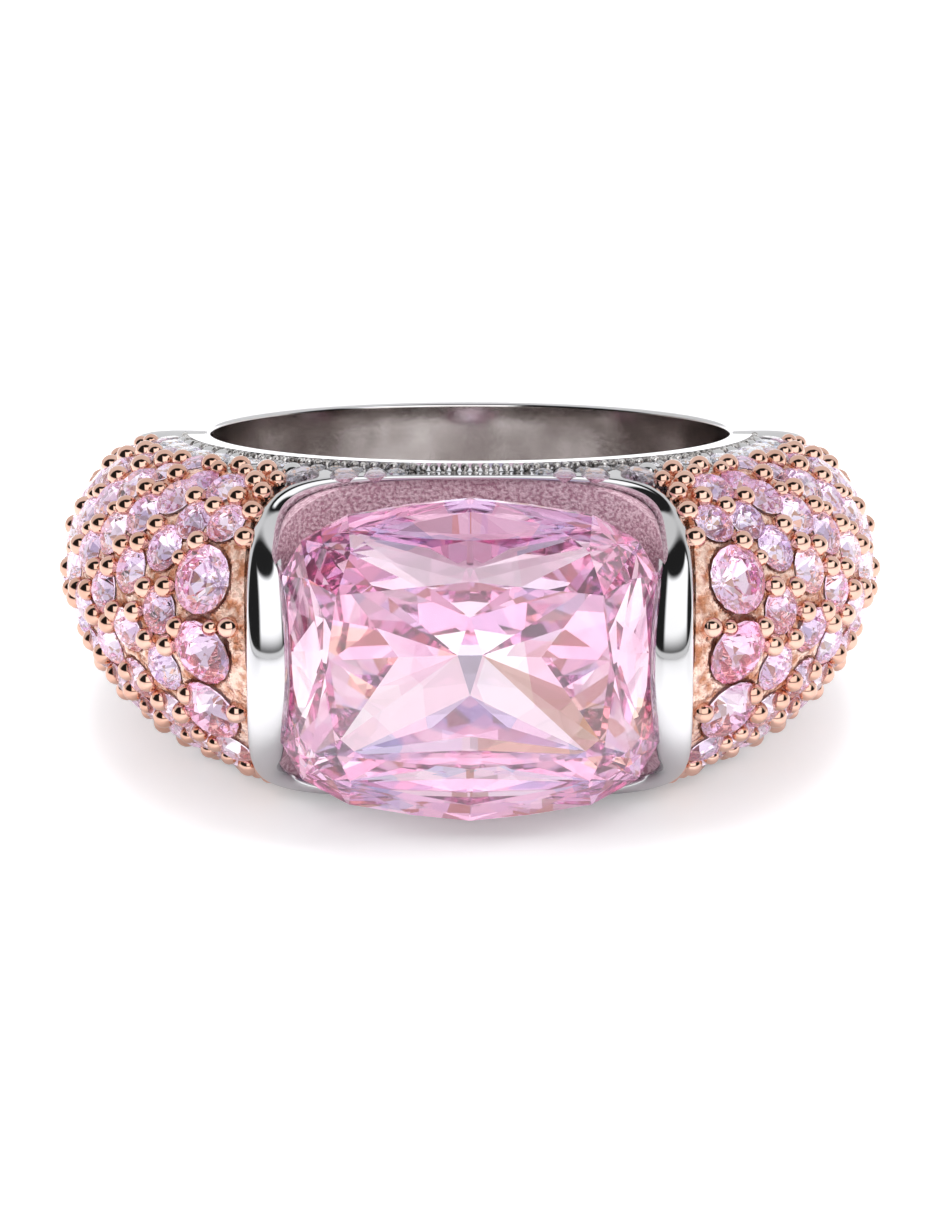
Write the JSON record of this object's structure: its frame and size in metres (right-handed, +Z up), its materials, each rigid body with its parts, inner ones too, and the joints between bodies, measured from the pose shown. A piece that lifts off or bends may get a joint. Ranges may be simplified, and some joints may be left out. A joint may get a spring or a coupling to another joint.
{
  "type": "cocktail ring",
  "caption": "Wide tapered finger ring with a pink cushion stone set crosswise between two polished bezel bars and domed rose-gold shoulders covered in pink pave stones",
  "frame": {"origin": "centre of the footprint's bounding box, on the plane the ring lies on", "axes": "+Z up; the head with the large stone faces -Y; +X is the right as seen from the head; the ring lies on its lower side face, so the finger axis leans 8 degrees from Z towards +Y"},
  "size_m": [0.0264, 0.0254, 0.0114],
  "materials": {
    "white_metal": "white precious metal, rhodium bright polish",
    "frosted_metal": "sand-blasted white metal that picks up the pink of the stone",
    "rose_gold": "polished rose-gold plating, bright cut between the stones",
    "centre_stone": "faceted transparent light pink stone",
    "pave_stone": "small faceted transparent lavender-pink stones"
  },
  "bodies": {
    "root": {"bezel_bar_left": "white_metal", "bezel_bar_right": "white_metal", "bezel_rim_lower": "white_metal", "bezel_rim_upper": "white_metal", "centre_stone": "centre_stone", "gallery": "frosted_metal", "pave_left_0_1": "pave_stone", "pave_left_0_2": "pave_stone", "pave_left_0_3": "pave_stone", "pave_left_0_4": "pave_stone", "pave_left_0_5": "pave_stone", "pave_left_0_6": "pave_stone", "pave_left_0_7": "pave_stone", "pave_left_1_0": "pave_stone", "pave_left_1_1": "pave_stone", "pave_left_1_2": "pave_stone", "pave_left_1_3": "pave_stone", "pave_left_1_4": "pave_stone", "pave_left_1_5": "pave_stone", "pave_left_1_6": "pave_stone", "pave_left_1_7": "pave_stone", "pave_left_2_1": "pave_stone", "pave_left_2_2": "pave_stone", "pave_left_2_3": "pave_stone", "pave_left_2_4": "pave_stone", "pave_left_2_5": "pave_stone", "pave_left_2_6": "pave_stone", "pave_left_2_7": "pave_stone", "pave_left_3_3": "pave_stone", "pave_left_3_4": "pave_stone", "pave_right_0_1": "pave_stone", "pave_right_0_2": "pave_stone", "pave_right_0_3": "pave_stone", "pave_right_0_4": "pave_stone", "pave_right_0_5": "pave_stone", "pave_right_0_6": "pave_stone", "pave_right_0_7": "pave_stone", "pave_right_1_0": "pave_stone", "pave_right_1_1": "pave_stone", "pave_right_1_2": "pave_stone", "pave_right_1_3": "pave_stone", "pave_right_1_4": "pave_stone", "pave_right_1_5": "pave_stone", "pave_right_1_6": "pave_stone", "pave_right_1_7": "pave_stone", "pave_right_2_1": "pave_stone", "pave_right_2_2": "pave_stone", "pave_right_2_3": "pave_stone", "pave_right_2_4": "pave_stone", "pave_right_2_5": "pave_stone", "pave_right_2_6": "pave_stone", "pave_right_2_7": "pave_stone", "pave_right_3_3": "pave_stone", "pave_right_3_4": "pave_stone", "shank": "white_metal", "shoulder_left": "rose_gold", "shoulder_right": "rose_gold"}
  },
  "joints": []
}
